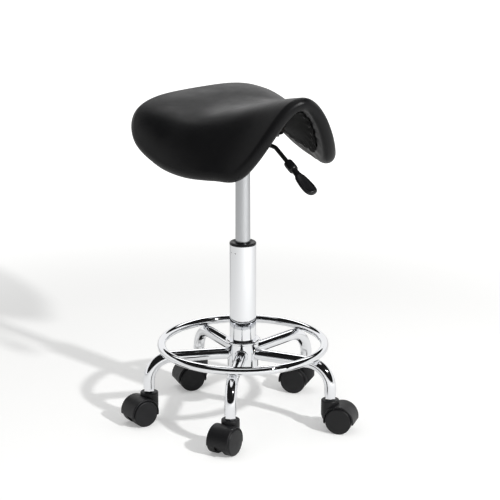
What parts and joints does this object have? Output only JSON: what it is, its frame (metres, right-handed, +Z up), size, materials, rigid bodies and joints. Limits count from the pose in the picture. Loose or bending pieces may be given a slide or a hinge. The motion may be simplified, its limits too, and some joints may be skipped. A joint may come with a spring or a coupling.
{
  "type": "rolling saddle stool",
  "caption": "Rolling saddle stool: padded saddle seat on a height-adjusting gas lift, chrome base with a foot ring and swivel castors, and a release lever under the seat.",
  "frame": {"origin": "point on the floor under the axis of the column", "axes": "+Z up the column; the seat faces -Y, its pommel at the front; +X to the sitter's left"},
  "size_m": [0.414, 0.4489, 0.6565],
  "materials": {
    "chrome_frame": "mirror chrome plate",
    "zinc_steel": "bright zinc plate",
    "cylinder_steel": "satin ground steel",
    "bearing_steel": "polished",
    "black_plastic": "moulded, fine grain",
    "castor_nylon": "moulded nylon, satin",
    "buffer_rubber": "matt",
    "black_paint": "satin black powder coat",
    "plywood": "moulded plywood",
    "foam": "moulded foam",
    "seat_leather": "soft black upholstery leather, low sheen",
    "backing_cloth": "black non-woven cloth"
  },
  "bodies": {
    "root": {"hub": "chrome_frame", "leg_1": "chrome_frame", "leg_2": "chrome_frame", "leg_3": "chrome_frame", "leg_4": "chrome_frame", "leg_5": "chrome_frame", "foot_ring": "chrome_frame", "leg_plugs": "zinc_steel", "castor_stems": "zinc_steel", "stem_clips": "zinc_steel", "column_tube": "chrome_frame", "guide_bush": "black_plastic", "column_end_plate": "zinc_steel", "bearing_lower_washer": "zinc_steel", "bearing_cage": "black_plastic", "bearing_balls": "bearing_steel"},
    "lift_rod": {"piston_rod": "cylinder_steel", "rod_clip": "zinc_steel", "bearing_upper_washer": "zinc_steel", "rod_bumper": "buffer_rubber", "piston": "cylinder_steel"},
    "seat": {"gas_cylinder": "cylinder_steel", "rod_seal": "black_plastic", "valve_body": "cylinder_steel", "taper_socket": "black_paint", "seat_plate": "black_paint", "lever_bracket": "black_paint", "lever_pin": "zinc_steel", "seat_board": "plywood", "seat_nuts": "zinc_steel", "seat_bolts": "zinc_steel", "seat_foam": "foam", "seat_cover": "seat_leather", "seat_backing": "backing_cloth"},
    "valve": {"valve_pin": "cylinder_steel"},
    "lever": {"lever_rod": "black_paint", "lever_grip": "black_plastic"},
    "castor_1": {"castor_1_hood": "castor_nylon", "castor_1_axle": "zinc_steel"},
    "castor_1_left": {"castor_1_wheel_left": "castor_nylon"},
    "castor_1_right": {"castor_1_wheel_right": "castor_nylon"},
    "castor_2": {"castor_2_hood": "castor_nylon", "castor_2_axle": "zinc_steel"},
    "castor_2_left": {"castor_2_wheel_left": "castor_nylon"},
    "castor_2_right": {"castor_2_wheel_right": "castor_nylon"},
    "castor_3": {"castor_3_hood": "castor_nylon", "castor_3_axle": "zinc_steel"},
    "castor_3_left": {"castor_3_wheel_left": "castor_nylon"},
    "castor_3_right": {"castor_3_wheel_right": "castor_nylon"},
    "castor_4": {"castor_4_hood": "castor_nylon", "castor_4_axle": "zinc_steel"},
    "castor_4_left": {"castor_4_wheel_left": "castor_nylon"},
    "castor_4_right": {"castor_4_wheel_right": "castor_nylon"},
    "castor_5": {"castor_5_hood": "castor_nylon", "castor_5_axle": "zinc_steel"},
    "castor_5_left": {"castor_5_wheel_left": "castor_nylon"},
    "castor_5_right": {"castor_5_wheel_right": "castor_nylon"}
  },
  "joints": [
    {"name": "seat_swivel", "type": "hinge", "parent": "root", "child": "lift_rod", "pos_m": [0, 0, 0.1], "axis": [0, 0, 1], "continuous": true},
    {"name": "seat_lift", "type": "slide", "parent": "lift_rod", "child": "seat", "axis": [0, 0, 1], "range_m": [-0.14, 0]},
    {"name": "lever_lift", "type": "hinge", "parent": "seat", "child": "lever", "pos_m": [0, -0.028, 0.548], "axis": [-1, 0, 0], "range_deg": [0, 5], "stiffness_Nm_per_rad": 4, "springref_deg": -6.88},
    {"name": "valve_press", "type": "slide", "parent": "seat", "child": "valve", "axis": [0, 0, -1], "range_m": [0, 0.003]},
    {"name": "castor_1_swivel", "type": "hinge", "parent": "root", "child": "castor_1", "pos_m": [-0.11352, -0.13969, 0.045], "axis": [0, 0, 1], "continuous": true},
    {"name": "castor_1_left_spin", "type": "hinge", "parent": "castor_1", "child": "castor_1_left", "pos_m": [-0.13223, -0.14922, 0.025], "axis": [0.454, -0.891, 0], "continuous": true},
    {"name": "castor_1_right_spin", "type": "hinge", "parent": "castor_1", "child": "castor_1_right", "pos_m": [-0.13223, -0.14922, 0.025], "axis": [0.454, -0.891, 0], "continuous": true},
    {"name": "castor_2_swivel", "type": "hinge", "parent": "root", "child": "castor_2", "pos_m": [0.09777, -0.15113, 0.045], "axis": [0, 0, 1], "continuous": true},
    {"name": "castor_2_left_spin", "type": "hinge", "parent": "castor_2", "child": "castor_2_left", "pos_m": [0.11155, -0.16698, 0.025], "axis": [0.7547, 0.6561, 0], "continuous": true},
    {"name": "castor_2_right_spin", "type": "hinge", "parent": "castor_2", "child": "castor_2_right", "pos_m": [0.11155, -0.16698, 0.025], "axis": [0.7547, 0.6561, 0], "continuous": true},
    {"name": "castor_3_swivel", "type": "hinge", "parent": "root", "child": "castor_3", "pos_m": [0.17395, 0.04628, 0.045], "axis": [0, 0, 1], "continuous": true},
    {"name": "castor_3_left_spin", "type": "hinge", "parent": "castor_3", "child": "castor_3_left", "pos_m": [0.16017, 0.06213, 0.025], "axis": [-0.7547, -0.6561, 0], "continuous": true},
    {"name": "castor_3_right_spin", "type": "hinge", "parent": "castor_3", "child": "castor_3_right", "pos_m": [0.16017, 0.06213, 0.025], "axis": [-0.7547, -0.6561, 0], "continuous": true},
    {"name": "castor_4_swivel", "type": "hinge", "parent": "root", "child": "castor_4", "pos_m": [0.00973, 0.17974, 0.045], "axis": [0, 0, 1], "continuous": true},
    {"name": "castor_4_left_spin", "type": "hinge", "parent": "castor_4", "child": "castor_4_left", "pos_m": [-0.01081, 0.1841, 0.025], "axis": [-0.2079, -0.9781, 0], "continuous": true},
    {"name": "castor_4_right_spin", "type": "hinge", "parent": "castor_4", "child": "castor_4_right", "pos_m": [-0.01081, 0.1841, 0.025], "axis": [-0.2079, -0.9781, 0], "continuous": true},
    {"name": "castor_5_swivel", "type": "hinge", "parent": "root", "child": "castor_5", "pos_m": [-0.16793, 0.0648, 0.045], "axis": [0, 0, 1], "continuous": true},
    {"name": "castor_5_left_spin", "type": "hinge", "parent": "castor_5", "child": "castor_5_left", "pos_m": [-0.18892, 0.06407, 0.025], "axis": [0.0349, -0.9994, 0], "continuous": true},
    {"name": "castor_5_right_spin", "type": "hinge", "parent": "castor_5", "child": "castor_5_right", "pos_m": [-0.18892, 0.06407, 0.025], "axis": [0.0349, -0.9994, 0], "continuous": true}
  ],
  "couplings": [
    {"joint": "valve_press", "follows": "lever_lift", "m_per_rad": 0.03}
  ]
}
